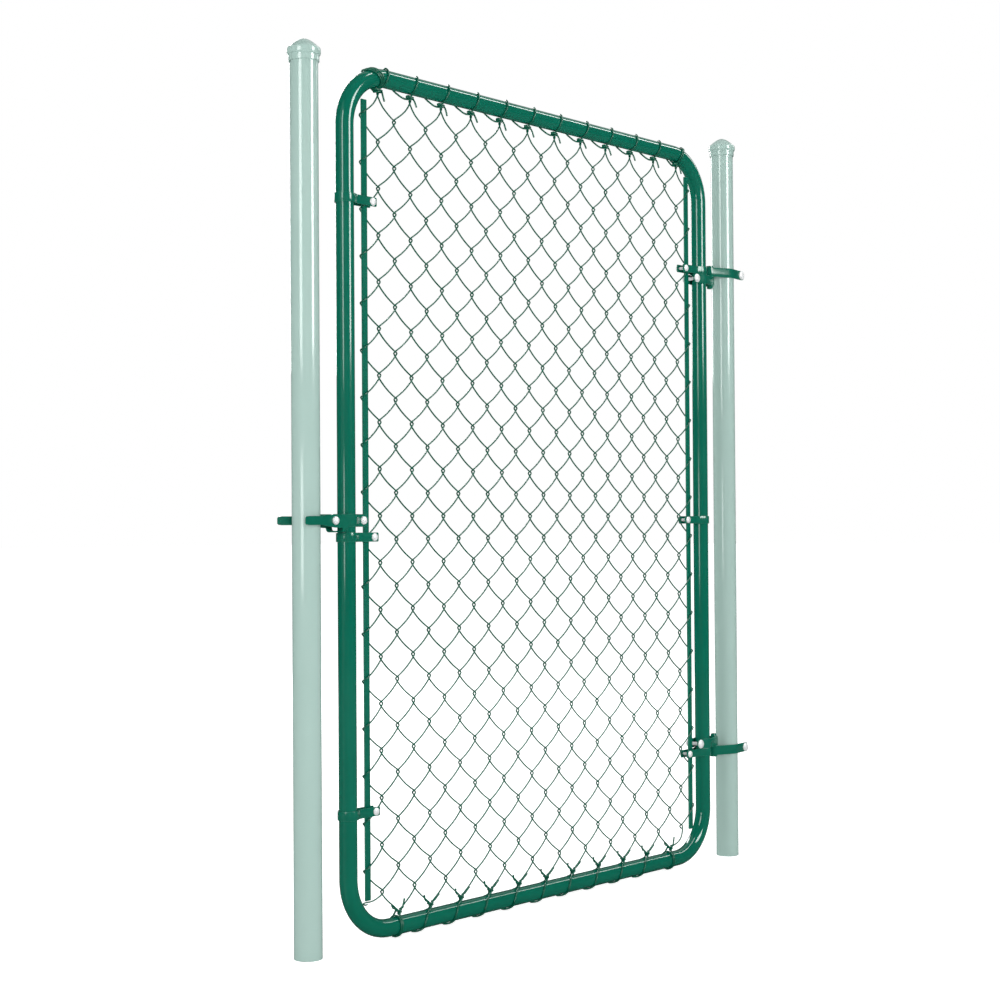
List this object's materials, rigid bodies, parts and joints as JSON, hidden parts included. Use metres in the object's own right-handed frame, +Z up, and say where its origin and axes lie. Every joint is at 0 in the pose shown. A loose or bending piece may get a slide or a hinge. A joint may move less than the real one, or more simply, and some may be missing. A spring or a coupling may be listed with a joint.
{
  "type": "chain link gate",
  "caption": "Chain link walk gate on two round posts: bent tube frame, woven wire fabric held by bars and bands, strap hinges and a fork latch.",
  "frame": {"origin": "centre of the hinge post's flat foot, at ground level", "axes": "+Z up along the posts, -X from the hinge post towards the latch post, -Y towards the front of the gate"},
  "size_m": [1.3441, 0.0712, 1.5778],
  "materials": {
    "green_coating": "gloss green vinyl coating on steel",
    "mint_coating": "pale mint gloss coating on steel",
    "zinc": "bright zinc plating"
  },
  "bodies": {
    "posts": {"hinge_post": "mint_coating", "hinge_post_cap": "mint_coating", "latch_post": "mint_coating", "latch_post_cap": "mint_coating", "upper_hinge_post_strap": "green_coating", "upper_hinge_pin": "green_coating", "lower_hinge_post_strap": "green_coating", "lower_hinge_pin": "green_coating"},
    "gate": {"front_latch_clamp": "green_coating", "gate_frame": "green_coating", "hinge_tension_bar": "green_coating", "latch_pivot_bolt": "zinc", "latch_tension_bar": "green_coating", "lower_hinge_gate_strap": "green_coating", "lower_hinge_tension_band": "green_coating", "lower_latch_tension_band": "green_coating", "middle_hinge_tension_band": "green_coating", "middle_latch_tension_band": "green_coating", "picket_01": "green_coating", "picket_02": "green_coating", "picket_03": "green_coating", "picket_04": "green_coating", "picket_05": "green_coating", "picket_06": "green_coating", "picket_07": "green_coating", "picket_08": "green_coating", "picket_09": "green_coating", "picket_10": "green_coating", "picket_11": "green_coating", "picket_12": "green_coating", "picket_13": "green_coating", "picket_14": "green_coating", "picket_15": "green_coating", "picket_16": "green_coating", "picket_17": "green_coating", "picket_18": "green_coating", "picket_19": "green_coating", "picket_20": "green_coating", "picket_21": "green_coating", "picket_22": "green_coating", "picket_23": "green_coating", "picket_24": "green_coating", "rear_latch_clamp": "green_coating", "upper_hinge_gate_strap": "green_coating", "upper_hinge_tension_band": "green_coating", "upper_latch_tension_band": "green_coating"},
    "latch_fork": {"latch_fork": "green_coating"}
  },
  "joints": [
    {"name": "gate_swing", "type": "hinge", "parent": "posts", "child": "gate", "pos_m": [-0.05065, 0, 0], "axis": [0, 0, 1], "range_deg": [-90, 90]},
    {"name": "latch_lift", "type": "hinge", "parent": "gate", "child": "latch_fork", "pos_m": [-1.212, 0, 0.736], "axis": [0, 1, 0], "range_deg": [0, 95]}
  ]
}
